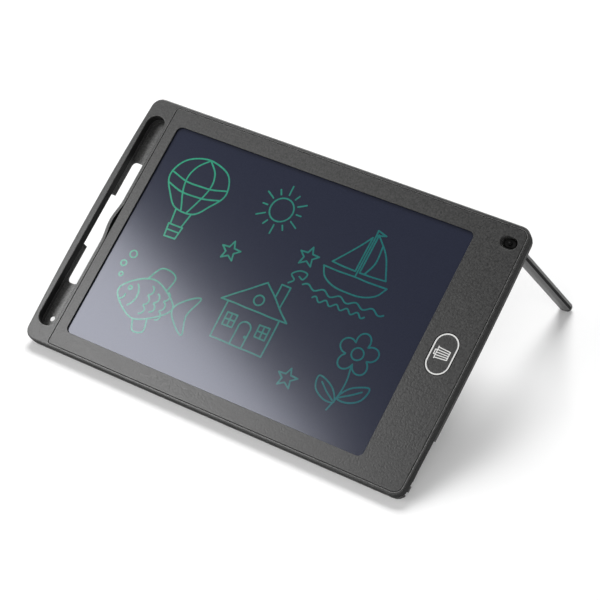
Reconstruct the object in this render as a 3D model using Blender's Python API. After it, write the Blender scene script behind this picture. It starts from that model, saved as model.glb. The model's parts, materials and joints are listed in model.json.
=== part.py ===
"""LCD writing tablet that stands on its long edge, with its stylus as the rear leg.

Metres, +Z up. The tablet is modelled lying flat in a frame of its own: x runs
along the long side, y runs up the front face, and depth is counted from the
front face into the body. One empty then leans that frame back, and a second
empty in it carries the stylus, which leaves the body through its stand hole.
"""
import math

import bpy
import bmesh
from mathutils import Euler, Vector

# Stance.
tablet_tilt = math.radians(33.1)
stylus_lean_up = math.radians(6.1)
stylus_lean_across = math.radians(3.0)

# Gaps and overruns.
fit_gap = 0.0003
layer_gap = 0.0001
cut_overrun = 0.002
fuse_overlap = 0.0002

# Body: the tray's band, the panel's left strip, the window and the key's band, side by side.
tray_band_width = 0.0163
panel_strip_left = 0.00625
window_width = 0.17555
key_band_width = 0.0275
window_margin_low = 0.0105
window_height = 0.12325
window_margin_high = 0.01125
body_corner_radius = 0.0058
left_bow = 0.0018
right_bow = 0.0011
parting_gap = 0.0002
front_edge_round = 0.0006
rear_edge_round = 0.0011
rear_draft = 0.0002
rear_wall = 0.0014
drawer_back_wall = 0.00095

# Front panel and its pocket in the frame.
rim_low = 0.0012
rim_high = 0.0018
rim_right = 0.0013
panel_thickness = 0.0012
panel_left_corner = 0.0017
panel_right_corner = 0.0042
panel_edge_break = 0.00015
ledge_width = 0.0015

# Window's edge and the layers behind it.
window_corner_radius = 0.003
window_edge_break = 0.0002
window_lip = 0.0006
film_margin = 0.003
film_margin_right = 0.005
film_corner_radius = 0.001
tape_thickness = 0.0002
tape_setback = 0.0005
film_thickness = 0.0004
backing_thickness = 0.0003
foam_thickness = 0.0005
plate_thickness = 0.0021

# Stylus tray: groove, through slot, retaining spring, finger relief, lanyard hole.
groove_outer_wall = 0.0038
groove_inner_wall = 0.0018
groove_margin_low = 0.0092
groove_margin_high = 0.0098
groove_floor = 0.0011
groove_edge_break = 0.0003
slot_inset_left = 0.0002
slot_inset_right = 0.0035
slot_inset_low = 0.027
slot_inset_high = 0.0258
slot_corner_radius = 0.0025
spring_middle_share = 0.5103
spring_length = 0.025
spring_bulge = 0.0015
relief_middle_share = 0.5063
relief_length = 0.031
lanyard_inset_x = 0.0037
lanyard_inset_y = 0.0059
lanyard_hole_radius = 0.0015

# Stylus and its stand hole.
stand_hole_inset_x = 0.0096
stand_hole_inset_y = 0.0101
stand_hole_gap = 0.0004
stand_hole_edge_break = 0.00065
stand_tube_wall = 0.0011
stylus_tip_recess = 0.0005
stylus_width = 0.0074
stylus_thickness = 0.0051
stylus_end_round = 0.0023
stylus_cap_length = 0.0034
stylus_bore_radius = 0.0013
stylus_shoulder_length = 0.0016
stylus_shoulder_inset = 0.0008
shoulder_ring_share = 1 / 3
nib_length = 0.0013
nib_tip_radius = 0.0006
nib_shank_length = 0.006
cap_plug_length = 0.005
plug_clearance = 0.0001

# Erase button and the tact switch under it.
button_film_gap = 0.00155
button_height_share = 0.4924
button_width = 0.0129
button_length = 0.0222
button_depth = 0.0019
button_edge_break = 0.0002
button_travel = 0.0004
button_flange_width = 0.008
button_flange_reach = 0.001
button_flange_thickness = 0.0005
tact_body_size = 0.006
tact_plunger_radius = 0.0015
tact_plunger_length = 0.0009
tact_floor = 0.0002

# Control board and what is soldered to it.
board_film_gap = 0.0008
board_inset_right = 0.0048
board_low = 0.0034
board_high_share = 0.69
board_lift = 0.0002
board_thickness = 0.001
board_chamfer = 0.0015
chip_length = 0.005
chip_width = 0.004
chip_height = 0.0012
chip_place_shares = (0.509, 0.822)
inductor_size = 0.004
inductor_height = 0.0016
inductor_corner_radius = 0.0012
inductor_place_shares = (0.746, 0.3016)
capacitor_length = 0.0032
capacitor_width = 0.0016
capacitor_height = 0.0011
capacitor_place_shares = (0.509, 0.108)
capacitor_pitch = 0.004
capacitor_count = 3
connector_length = 0.0035
connector_width = 0.0135
connector_height = 0.0011
connector_inset = 0.0021
connector_place_share = 0.287
tail_width = 0.012
tail_thickness = 0.00015
tail_lap = 0.0014
tail_insertion = 0.0008

# Board screws and their bosses.
boss_radius = 0.0022
screw_shank_radius = 0.00085
screw_head_radius = 0.0016
screw_head_height = 0.001
screw_length = 0.0026
screw_clearance = 0.0001
screw_place_shares = ((0.16, 0.116), (0.846, 0.4577), (0.16, 0.933))

# Coin cell, its drawer and its contacts.
cell_radius = 0.01
cell_thickness = 0.0016
cell_cap_radius = 0.0086
cell_step = 0.0002
cell_clearance = 0.0003
drawer_inset = 0.0013
drawer_side_wall = 0.0006
drawer_front_wall = 0.0027
drawer_floor = 0.0004
drawer_lip_depth = 0.0014
drawer_lip_height = 0.0008
thumb_notch_reach = 0.0022
contact_thickness = 0.00015
contact_width = 0.0026
contact_spread = 0.0056
contact_dip = 0.0002
contact_length = 0.0048
contact_bend_shares = (1 / 3, 2 / 3)

# Erase lock: a knob in the side wall over a slide switch.
lock_travel = 0.0019
lock_slot_low = 0.0034
lock_knob_length = 0.003
lock_knob_reach = 0.003
lock_knob_rear_setback = 0.0006
lock_flange_inset = 0.0054
lock_web_width = 0.0017
lock_flange_thickness = 0.001
lock_flange_overhang = 0.0008
lock_flange_drop = 0.0018
slide_body_length = 0.0052
slide_body_width = 0.0026
slide_body_height = 0.0014
lever_width = 0.0013
lever_height = 0.0007
lever_reach = 0.0014

# Ribs inside the rear cover.
rib_thickness = 0.0014
rib_columns = 5
rib_rows = 4

# Steps of round stretches, and the angle from which an edge is drawn sharp.
corner_steps = 5
side_steps = 10
edge_steps = 3
spring_steps = 12
foot_steps = 6
end_steps = 10
round_steps = 2 * end_steps + 2
cell_steps = 2 * round_steps
sharp_angle = math.radians(30)

# Layers, front to back.
tape_top = window_lip + layer_gap
film_top = tape_top + tape_thickness + layer_gap
backing_top = film_top + film_thickness + layer_gap
foam_top = backing_top + backing_thickness + layer_gap
plate_top = foam_top + foam_thickness + layer_gap
frame_depth = plate_top + plate_thickness + layer_gap
cover_top_depth = frame_depth + parting_gap
panel_pocket_depth = panel_thickness + fit_gap
board_bottom_depth = cover_top_depth - board_lift
board_top_depth = board_bottom_depth - board_thickness
plunger_top_depth = button_depth + layer_gap
tact_body_height = board_top_depth - plunger_top_depth - button_travel - layer_gap
cell_top_depth = board_bottom_depth + contact_dip + contact_thickness + 2 * layer_gap
well_floor_depth = cell_top_depth + cell_thickness + layer_gap
drawer_bottom_depth = well_floor_depth + drawer_floor
channel_bottom_depth = drawer_bottom_depth + layer_gap
body_depth = channel_bottom_depth + drawer_back_wall
cover_floor_depth = body_depth - rear_wall
groove_depth = body_depth - groove_floor
slide_top_depth = board_bottom_depth + layer_gap
lever_top_depth = slide_top_depth + (slide_body_height - lever_height) / 2

# Places across the body, and the tray's.
window_left = tray_band_width + panel_strip_left
window_right = window_left + window_width
body_width = window_right + key_band_width
panel_right = body_width - rim_right
film_right = window_right + film_margin_right
plate_right = film_right - tail_lap
bay_left = film_right + layer_gap
board_left = film_right + board_film_gap
board_right = body_width - board_inset_right
connector_x = board_left + connector_inset
button_x = film_right + button_film_gap + button_width / 2
stand_hole_x = body_width - stand_hole_inset_x
drawer_right = body_width - drawer_inset
cell_x = drawer_right - drawer_front_wall - cell_clearance - cell_radius
drawer_left = cell_x - cell_radius - cell_clearance - drawer_side_wall
thumb_notch_left = drawer_right - thumb_notch_reach
lock_flange_left = body_width - lock_flange_inset
lock_knob_left = lock_flange_left + lock_flange_thickness
slide_middle_x = lock_flange_left - fit_gap - slide_body_width / 2
groove_left = groove_outer_wall
groove_right = tray_band_width - groove_inner_wall
groove_width = groove_right - groove_left
slot_left = groove_left + slot_inset_left
slot_right = groove_right - slot_inset_right
lanyard_hole_x = groove_left + lanyard_inset_x

# Places up the body.
window_low = window_margin_low
window_high = window_low + window_height
body_height = window_high + window_margin_high
panel_high = body_height - rim_high
stand_hole_y = body_height - stand_hole_inset_y
button_y = body_height * button_height_share
groove_low = groove_margin_low
groove_high = body_height - groove_margin_high
slot_low = groove_low + slot_inset_low
slot_high = groove_high - slot_inset_high
spring_middle = groove_low + (groove_high - groove_low) * spring_middle_share
relief_middle = groove_low + (groove_high - groove_low) * relief_middle_share
lanyard_hole_y = groove_low + lanyard_inset_y
lock_knob_low = lock_slot_low + fit_gap / 2 + lock_travel
lock_knob_middle = lock_knob_low + lock_knob_length / 2
lock_slot_high = lock_slot_low + lock_travel + lock_knob_length + fit_gap
channel_low = lock_slot_high + lock_web_width
drawer_half_width = cell_radius + cell_clearance + drawer_side_wall
cell_y = channel_low + fit_gap + drawer_half_width
channel_high = cell_y + drawer_half_width + fit_gap
board_high = body_height * board_high_share
connector_y = channel_high + (board_high - channel_high) * connector_place_share


def board_place(across_share, along_share):
    """A place on the board's free part, above the battery drawer."""
    x = board_left + (board_right - board_left) * across_share
    y = channel_high + (board_high - channel_high) * along_share
    return x, y


screw_places = [board_place(*shares) for shares in screw_place_shares]


def arc(center_x, center_y, radius, start, end, steps):
    """Points of a circle's arc, both ends included."""
    turns = [start + (end - start) * i / steps for i in range(steps + 1)]
    return [(center_x + radius * math.cos(a), center_y + radius * math.sin(a)) for a in turns]


def circle(center_x, center_y, radius, steps=round_steps):
    """A circle whose points line up with those of a stadium lying along x."""
    return arc(center_x, center_y, radius, -math.pi / 2, 3 * math.pi / 2, steps)[:-1]


def bow_radius(bow):
    """Radius of the arc that a side follows when its middle stands out by bow."""
    half = body_height / 2
    return (half ** 2 + bow ** 2) / (2 * bow)


def side_points(edge, low, high, radius, corner):
    """One right-hand side, upward: lower corner, bowed or straight run, upper corner."""
    half = (high - low) / 2
    middle = (high + low) / 2
    if radius is None:
        center_x = edge - corner
        swing = 0.0
        run = []
    else:
        side_center = edge - radius
        center_x = side_center + math.sqrt((radius - corner) ** 2 - (half - corner) ** 2)
        swing = math.asin((half - corner) / (radius - corner))
        run = arc(side_center, middle, radius, -swing, swing, side_steps)[1:-1]
    lower = arc(center_x, low + corner, corner, -math.pi / 2, -swing, corner_steps)
    upper = arc(center_x, high - corner, corner, swing, math.pi / 2, corner_steps)
    return lower + run + upper


def bowed_outline(left, right, low, high, left_radius, right_radius, left_corner, right_corner):
    """A closed outline, counterclockwise, whose two short sides may bow outward."""
    right_side = side_points(right, low, high, right_radius, right_corner)
    mirrored = side_points(-left, low, high, left_radius, left_corner)
    left_side = [(-x, y) for x, y in reversed(mirrored)]
    return right_side + left_side


def rounded_rectangle(left, right, low, high, corner):
    return bowed_outline(left, right, low, high, None, None, corner, corner)


def box_outline(left, right, low, high):
    return [(left, low), (right, low), (right, high), (left, high)]


def stadium(center_x, center_y, width, length, steps=end_steps):
    """A slot shape: two half circles joined along the longer of its two sizes."""
    radius = min(width, length) / 2
    reach_x = width / 2 - radius
    reach_y = length / 2 - radius
    start = -math.pi / 2 if reach_x > 0 else 0.0
    turned = start + math.pi
    first = arc(center_x + reach_x, center_y + reach_y, radius, start, turned, steps)
    last = arc(center_x - reach_x, center_y - reach_y, radius, turned, turned + math.pi, steps)
    return first + last


def body_outline(inset):
    """The tablet's outer outline, drawn in by inset."""
    return bowed_outline(
        inset,
        body_width - inset,
        inset,
        body_height - inset,
        bow_radius(left_bow) - inset,
        bow_radius(right_bow) - inset,
        body_corner_radius - inset,
        body_corner_radius - inset,
    )


def panel_outline(inset):
    """The panel pocket's outline, drawn in by inset: straight left, bowed right."""
    return bowed_outline(
        tray_band_width + inset,
        panel_right - inset,
        rim_low + inset,
        panel_high - inset,
        None,
        bow_radius(right_bow) - rim_right - inset,
        panel_left_corner - inset,
        panel_right_corner - inset,
    )


def window_outline(outset):
    return rounded_rectangle(
        window_left - outset,
        window_right + outset,
        window_low - outset,
        window_high + outset,
        window_corner_radius + outset,
    )


def film_outline(outset, right=film_right):
    return rounded_rectangle(
        window_left - film_margin - outset,
        right + outset,
        window_low - film_margin - outset,
        window_high + film_margin + outset,
        film_corner_radius + outset,
    )


def spring_bow(y):
    """How far the retaining spring stands into the groove at height y."""
    share = (y - spring_middle) / spring_length
    return spring_bulge * math.cos(math.pi * share) ** 2


def spring_heights():
    start = spring_middle - spring_length / 2
    return [start + spring_length * i / spring_steps for i in range(spring_steps + 1)]


def groove_outline(outset, with_spring):
    """The tray's long round-ended outline, with or without the spring's bow."""
    radius = groove_width / 2 + outset
    middle_x = groove_left + groove_width / 2
    low_y = groove_low + groove_width / 2
    high_y = groove_high - groove_width / 2
    lower = arc(middle_x, low_y, radius, math.pi, 2 * math.pi, end_steps)
    upper = arc(middle_x, high_y, radius, 0.0, math.pi, end_steps)
    heights = spring_heights() if with_spring else []
    bow = [(groove_right + outset - spring_bow(y), y) for y in heights]
    return lower + bow + upper


def stylus_section(inset):
    return stadium(0.0, 0.0, stylus_width - 2 * inset, stylus_thickness - 2 * inset)


def cover_rings():
    """Inset and depth of each ring of the rear cover's outer skin, top to back face."""
    start = body_depth - rear_edge_round
    rings = [(0.0, cover_top_depth), (rear_draft, start)]
    for i in range(1, edge_steps + 1):
        turn = math.pi / 2 * i / edge_steps
        rings.append((
            rear_draft + rear_edge_round * (1 - math.cos(turn)),
            start + rear_edge_round * math.sin(turn),
        ))
    return rings


def frame_rings():
    """Inset and depth of each ring of the frame's outer skin, front edge first."""
    rings = []
    for i in range(edge_steps + 1):
        turn = math.pi / 2 * i / edge_steps
        rings.append((
            front_edge_round * (1 - math.sin(turn)),
            front_edge_round * (1 - math.cos(turn)),
        ))
    rings.append((0.0, frame_depth))
    return rings


def stylus_down():
    """The stylus's own axis, tip to foot, and straight down as seen in its frame."""
    lean = Euler((stylus_lean_up, -stylus_lean_across, 0.0)).to_matrix()
    tilt = Euler((tablet_tilt, 0.0, 0.0)).to_matrix()
    return tilt @ lean


def foot_support(direction):
    """How far the rounded foot reaches along a world direction, past its axis point.

    The axis point lies one end radius inside the foot's end. The foot is the
    stylus section, drawn in by that radius, swept by a ball of the same radius.
    """
    local = stylus_down().transposed() @ direction
    across = math.hypot(local.x, local.y)
    straight = (stylus_width - stylus_thickness) / 2
    round_part = stylus_thickness / 2 - stylus_end_round
    return straight * abs(local.x) + round_part * across + stylus_end_round


def floor_offset():
    """Height of the tablet frame's origin above the floor."""
    along_floor = math.cos(tablet_tilt)
    up = math.sin(tablet_tilt)
    return max(depth * along_floor - inset * up for inset, depth in cover_rings())


def hole_height():
    return floor_offset() + stand_hole_y * math.sin(tablet_tilt)


def foot_reach():
    """Distance from the stand hole's mouth to the stylus's foot end, foot on the floor."""
    drop = -(stylus_down() @ Vector((0.0, 0.0, -1.0))).z
    to_axis_point = (hole_height() - foot_support(Vector((0.0, 0.0, -1.0)))) / drop
    return to_axis_point + stylus_end_round


def stance_middle():
    """Middle of the whole part's footprint along y, from the tablet frame's origin."""
    along_floor = math.cos(tablet_tilt)
    up = math.sin(tablet_tilt)
    front = min(inset * along_floor + depth * up for inset, depth in frame_rings())
    axis = stylus_down() @ Vector((0.0, 0.0, -1.0))
    back = stand_hole_y * along_floor
    back += axis.y * (foot_reach() - stylus_end_round) + foot_support(Vector((0.0, 1.0, 0.0)))
    return (front + back) / 2


barrel_start = stylus_tip_recess + nib_length
barrel_end = foot_reach() - stylus_cap_length


def clear_scene():
    for existing in list(bpy.data.objects):
        bpy.data.objects.remove(existing, do_unlink=True)


def plastic(name, color, roughness, metallic=0.0):
    """A Principled material of one colour."""
    made = bpy.data.materials.new(name)
    made.use_nodes = True
    shader = made.node_tree.nodes["Principled BSDF"]
    shader.inputs["Base Color"].default_value = (*color, 1.0)
    shader.inputs["Roughness"].default_value = roughness
    shader.inputs["Metallic"].default_value = metallic
    return made


def add_empty(name, parent, location, rotation):
    empty = bpy.data.objects.new(name, None)
    bpy.context.scene.collection.objects.link(empty)
    empty.parent = parent
    empty.location = location
    empty.rotation_euler = rotation
    return empty


def close_rows(mesh, rows):
    """Skins rows of equally many points into one closed body."""
    faces = [mesh.faces.new(rows[0]), mesh.faces.new(rows[-1])]
    for upper, lower in zip(rows, rows[1:]):
        for i in range(len(upper)):
            j = (i + 1) % len(upper)
            faces.append(mesh.faces.new((upper[i], upper[j], lower[j], lower[i])))
    bmesh.ops.recalc_face_normals(mesh, faces=faces)


def add_loft(mesh, rings):
    """Adds one closed body to the mesh from rings, each an outline and its depth."""
    close_rows(mesh, [[mesh.verts.new((x, y, -depth)) for x, y in outline] for outline, depth in rings])


def prism(outline, top, bottom):
    return [(outline, top), (outline, bottom)]


def finish_object(name, mesh, parent, material):
    """Puts a mesh in the scene as a named object; without a material it is a tool body."""
    data = bpy.data.meshes.new(name)
    mesh.to_mesh(data)
    mesh.free()
    made = bpy.data.objects.new(name, data)
    bpy.context.scene.collection.objects.link(made)
    made.parent = parent
    if material is None:
        made.hide_render = True
        made.display_type = "WIRE"
    else:
        data.materials.append(material)
        data.shade_smooth()
        data.set_sharp_from_angle(angle=sharp_angle)
    return made


def make_object(name, lofts, parent, material=None):
    """A named object made of one or more lofts."""
    mesh = bmesh.new()
    for rings in lofts:
        add_loft(mesh, rings)
    return finish_object(name, mesh, parent, material)


def combine(target, tool, operation):
    step = target.modifiers.new(tool.name, "BOOLEAN")
    step.operation = operation
    step.solver = "EXACT"
    step.object = tool


def cut(target, name, lofts, parent):
    combine(target, make_object(name, lofts, parent), "DIFFERENCE")


def fuse(target, name, lofts, parent):
    combine(target, make_object(name, lofts, parent), "UNION")


def bent_strip(name, line, thickness, low, high, parent, material):
    """A thin bent strip: line gives (x, depth) of its front face, swept from low to high."""
    profile = line + [(x, depth + thickness) for x, depth in reversed(line)]
    mesh = bmesh.new()
    close_rows(mesh, [[mesh.verts.new((x, y, -depth)) for x, depth in profile] for y in (low, high)])
    return finish_object(name, mesh, parent, material)


def build_frame(tablet, plastic_dark):
    """The middle housing: side walls, rim, panel pocket and the front half of the tray."""
    frame = make_object(
        "housing_frame",
        [[(body_outline(inset), depth) for inset, depth in frame_rings()]],
        tablet,
        plastic_dark,
    )
    cut(frame, "cut_panel_pocket", [prism(panel_outline(0.0), -cut_overrun, panel_pocket_depth)], tablet)
    cavity = panel_outline(ledge_width)
    cut(frame, "cut_frame_cavity", [prism(cavity, panel_thickness, frame_depth + cut_overrun)], tablet)
    groove = [
        (groove_outline(groove_edge_break, True), -cut_overrun),
        (groove_outline(groove_edge_break, True), 0.0),
        (groove_outline(0.0, True), groove_edge_break),
        (groove_outline(0.0, True), frame_depth + cut_overrun),
    ]
    cut(frame, "cut_frame_groove", [groove], tablet)
    crescent = [(tray_band_width - spring_bow(y), y) for y in spring_heights()]
    crescent[0] = (tray_band_width + fuse_overlap, spring_heights()[0])
    crescent[-1] = (tray_band_width + fuse_overlap, spring_heights()[-1])
    cut(frame, "cut_spring_slot", [prism(crescent, -cut_overrun, frame_depth + cut_overrun)], tablet)
    return frame


def build_panel(tablet, stylus_axis, plastic_dark):
    """The inset front panel: window, film seat, button hole and stand hole."""
    rings = [
        (panel_outline(fit_gap + panel_edge_break), 0.0),
        (panel_outline(fit_gap), panel_edge_break),
        (panel_outline(fit_gap), panel_thickness),
    ]
    panel = make_object("front_panel", [rings], tablet, plastic_dark)
    window = [
        (window_outline(window_edge_break), -cut_overrun),
        (window_outline(window_edge_break), 0.0),
        (window_outline(0.0), window_edge_break),
        (window_outline(0.0), panel_thickness + cut_overrun),
    ]
    cut(panel, "cut_window", [window], tablet)
    seat = film_outline(fit_gap)
    cut(panel, "cut_film_seat", [prism(seat, window_lip, panel_thickness + cut_overrun)], tablet)
    key = stadium(button_x, button_y, button_width + 2 * fit_gap, button_length + 2 * fit_gap)
    cut(panel, "cut_button_hole", [prism(key, -cut_overrun, panel_thickness + cut_overrun)], tablet)
    bore = stylus_section(-stand_hole_gap)
    wide = stylus_section(-stand_hole_gap - stand_hole_edge_break)
    mouth = [
        (wide, -cut_overrun),
        (wide, 0.0),
        (bore, stand_hole_edge_break),
        (bore, panel_thickness + cut_overrun),
    ]
    cut(panel, "cut_stand_mouth", [mouth], stylus_axis)
    return panel


def rib_pockets():
    """The pockets between the cover's ribs, under the support plate."""
    left = tray_band_width + ledge_width
    low = rim_low + ledge_width
    high = panel_high - ledge_width
    width = (plate_right - left - (rib_columns - 1) * rib_thickness) / rib_columns
    height = (high - low - (rib_rows - 1) * rib_thickness) / rib_rows
    pockets = []
    for column in range(rib_columns):
        for row in range(rib_rows):
            x = left + column * (width + rib_thickness)
            y = low + row * (height + rib_thickness)
            outline = box_outline(x, x + width, y, y + height)
            pockets.append(prism(outline, frame_depth, cover_floor_depth))
    return pockets


def build_rear_cover(tablet, stylus_axis, plastic_dark):
    """The rear shell: back wall, ribs, tray floor, drawer bay, lock slot and stand tube."""
    cover = make_object(
        "rear_cover",
        [[(body_outline(inset), depth) for inset, depth in cover_rings()]],
        tablet,
        plastic_dark,
    )
    cut(cover, "cut_rib_pockets", rib_pockets(), tablet)
    bay = bowed_outline(
        bay_left,
        panel_right - ledge_width,
        rim_low + ledge_width,
        panel_high - ledge_width,
        None,
        bow_radius(right_bow) - rim_right - ledge_width,
        film_corner_radius,
        panel_right_corner - ledge_width,
    )
    cut(cover, "cut_board_bay", [prism(bay, frame_depth, cover_floor_depth)], tablet)
    groove = prism(groove_outline(0.0, False), frame_depth, groove_depth)
    cut(cover, "cut_cover_groove", [groove], tablet)
    slot = rounded_rectangle(slot_left, slot_right, slot_low, slot_high, slot_corner_radius)
    through = body_depth + cut_overrun
    cut(cover, "cut_tray_slot", [prism(slot, frame_depth, through)], tablet)
    lanyard = circle(lanyard_hole_x, lanyard_hole_y, lanyard_hole_radius)
    cut(cover, "cut_lanyard_hole", [prism(lanyard, frame_depth, through)], tablet)
    relief_low = relief_middle - relief_length / 2
    relief = box_outline(-cut_overrun, slot_left + cut_overrun, relief_low, relief_low + relief_length)
    cut(cover, "cut_finger_relief", [prism(relief, frame_depth, through)], tablet)
    boss_bottom = cover_floor_depth + fuse_overlap
    bosses = [prism(circle(x, y, boss_radius), cover_top_depth, boss_bottom) for x, y in screw_places]
    fuse(cover, "add_bosses", bosses, tablet)
    tube = prism(stand_tube_outline(), panel_pocket_depth, boss_bottom)
    fuse(cover, "add_stand_tube", [tube], tablet)
    pilot_bottom = cover_floor_depth - fuse_overlap
    pilots = [prism(pilot_outline(x, y), frame_depth, pilot_bottom) for x, y in screw_places]
    cut(cover, "cut_pilot_holes", pilots, tablet)
    cut_side_openings(cover, tablet)
    bore = prism(stylus_section(-stand_hole_gap), -cut_overrun, body_depth + 2 * cut_overrun)
    cut(cover, "cut_stand_bore", [bore], stylus_axis)
    return cover


def cut_side_openings(cover, tablet):
    """The right side wall's openings: drawer channel, thumb notch and lock slot."""
    through = body_depth + cut_overrun
    outside = body_width + cut_overrun
    channel = box_outline(drawer_left - fit_gap, outside, channel_low, channel_high)
    cut(cover, "cut_drawer_channel", [prism(channel, frame_depth, channel_bottom_depth)], tablet)
    notch = box_outline(thumb_notch_left, outside, channel_low, channel_high)
    cut(cover, "cut_thumb_notch", [prism(notch, drawer_bottom_depth, through)], tablet)
    web = box_outline(
        thumb_notch_left,
        outside,
        lock_slot_high - fuse_overlap,
        channel_low + fuse_overlap,
    )
    cut(cover, "cut_web_between", [prism(web, frame_depth, through)], tablet)
    lock_slot = box_outline(lock_knob_left - fit_gap, outside, lock_slot_low, lock_slot_high)
    cut(cover, "cut_lock_slot", [prism(lock_slot, frame_depth, through)], tablet)
    lock_bay = box_outline(
        lock_flange_left - fit_gap,
        lock_knob_left + fit_gap,
        lock_knob_low - lock_travel - lock_flange_overhang - fit_gap,
        lock_knob_low + lock_knob_length + lock_flange_overhang + fit_gap / 2,
    )
    cut(cover, "cut_lock_bay", [prism(lock_bay, frame_depth, cover_floor_depth)], tablet)


def pilot_outline(x, y):
    return circle(x, y, screw_shank_radius + screw_clearance)


def stand_tube_outline():
    """The upright tube round the leaning stand bore, centred on it at half depth."""
    grow = stand_hole_gap + stand_tube_wall
    return stadium(
        stand_hole_x + math.tan(stylus_lean_across) * body_depth / 2,
        stand_hole_y + math.tan(stylus_lean_up) * body_depth / 2,
        stylus_width + 2 * grow,
        stylus_thickness + 2 * grow,
    )


def build_display(tablet):
    """The layers behind the window: tape, film, dark sheet, foam and support plate."""
    tape = make_object(
        "adhesive_frame",
        [prism(film_outline(-layer_gap), tape_top, tape_top + tape_thickness)],
        tablet,
        plastic("tape", (0.02, 0.02, 0.022), 0.8),
    )
    inner = prism(window_outline(tape_setback), -cut_overrun, film_top + cut_overrun)
    cut(tape, "cut_tape_window", [inner], tablet)
    make_object(
        "writing_film",
        [prism(film_outline(0.0), film_top, film_top + film_thickness)],
        tablet,
        plastic("film", (0.035, 0.04, 0.055), 0.25),
    )
    make_object(
        "dark_backing_sheet",
        [prism(film_outline(0.0, plate_right), backing_top, backing_top + backing_thickness)],
        tablet,
        plastic("backing", (0.01, 0.01, 0.012), 0.7),
    )
    make_object(
        "foam_pad",
        [prism(film_outline(0.0, plate_right), foam_top, foam_top + foam_thickness)],
        tablet,
        plastic("foam", (0.12, 0.12, 0.12), 0.95),
    )
    make_object(
        "support_plate",
        [prism(film_outline(0.0, plate_right), plate_top, plate_top + plate_thickness)],
        tablet,
        plastic("support", (0.6, 0.6, 0.58), 0.6),
    )


def build_tail(tablet):
    """The flat lead from the film's edge down to its connector on the board."""
    start_depth = film_top + film_thickness + layer_gap
    end_depth = board_top_depth - connector_height / 2 - tail_thickness
    line = [
        (plate_right + fit_gap, start_depth),
        (film_right, start_depth),
        (film_right + tail_lap, end_depth),
        (connector_x + tail_insertion, end_depth),
    ]
    low = connector_y - tail_width / 2
    amber = plastic("flat_lead", (0.45, 0.24, 0.06), 0.5)
    bent_strip("film_tail", line, tail_thickness, low, low + tail_width, tablet, amber)
    shell = box_outline(
        connector_x,
        connector_x + connector_length,
        connector_y - connector_width / 2,
        connector_y + connector_width / 2,
    )
    connector = make_object(
        "tail_connector",
        [on_board(shell, connector_height)],
        tablet,
        plastic("connector", (0.75, 0.73, 0.68), 0.55),
    )
    mouth = box_outline(
        connector_x - cut_overrun,
        connector_x + tail_insertion + layer_gap,
        low - layer_gap,
        low + tail_width + layer_gap,
    )
    slot = prism(mouth, end_depth - layer_gap, end_depth + tail_thickness + layer_gap)
    cut(connector, "cut_connector_mouth", [slot], tablet)


def on_board(outline, height):
    """A body of the given height that stands on the board's front face."""
    base = board_top_depth - layer_gap
    return prism(outline, base - height, base)


def centered_box(x, y, width, length):
    return box_outline(x - width / 2, x + width / 2, y - length / 2, y + length / 2)


def build_board(tablet):
    """The control board with its chip, inductor, capacitors, switches and screws."""
    outline = [
        (board_left, board_low),
        (board_right - board_chamfer, board_low),
        (board_right, board_low + board_chamfer),
        (board_right, board_high),
        (board_left, board_high),
    ]
    board = make_object(
        "control_board",
        [prism(outline, board_top_depth, board_bottom_depth)],
        tablet,
        plastic("board", (0.03, 0.2, 0.08), 0.5),
    )
    above = board_top_depth - cut_overrun
    below = board_bottom_depth + cut_overrun
    holes = [prism(pilot_outline(x, y), above, below) for x, y in screw_places]
    cut(board, "cut_board_holes", holes, tablet)
    chip = centered_box(*board_place(*chip_place_shares), chip_width, chip_length)
    resin = plastic("chip_resin", (0.02, 0.02, 0.02), 0.5)
    make_object("control_chip", [on_board(chip, chip_height)], tablet, resin)
    x, y = board_place(*inductor_place_shares)
    half = inductor_size / 2
    coil = rounded_rectangle(x - half, x + half, y - half, y + half, inductor_corner_radius)
    ferrite = plastic("ferrite", (0.06, 0.06, 0.065), 0.45)
    make_object("boost_inductor", [on_board(coil, inductor_height)], tablet, ferrite)
    ceramic = plastic("ceramic", (0.42, 0.3, 0.18), 0.4)
    x, first_y = board_place(*capacitor_place_shares)
    for i in range(capacitor_count):
        outline = centered_box(x, first_y + i * capacitor_pitch, capacitor_length, capacitor_width)
        make_object(f"capacitor_{i + 1}", [on_board(outline, capacitor_height)], tablet, ceramic)
    build_screws(tablet)


def build_screws(tablet):
    """Pan-head screws that hold the board down on the cover's bosses."""
    steel = plastic("screw_steel", (0.6, 0.6, 0.62), 0.35, 1.0)
    head_bottom = board_top_depth - layer_gap
    for i, (x, y) in enumerate(screw_places):
        head = circle(x, y, screw_head_radius)
        shank = circle(x, y, screw_shank_radius)
        rings = [
            (shank, head_bottom - screw_head_height),
            (head, head_bottom - screw_head_height / 2),
            (head, head_bottom),
            (shank, head_bottom),
            (shank, head_bottom + screw_length),
        ]
        make_object(f"board_screw_{i + 1}", [rings], tablet, steel)


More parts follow.
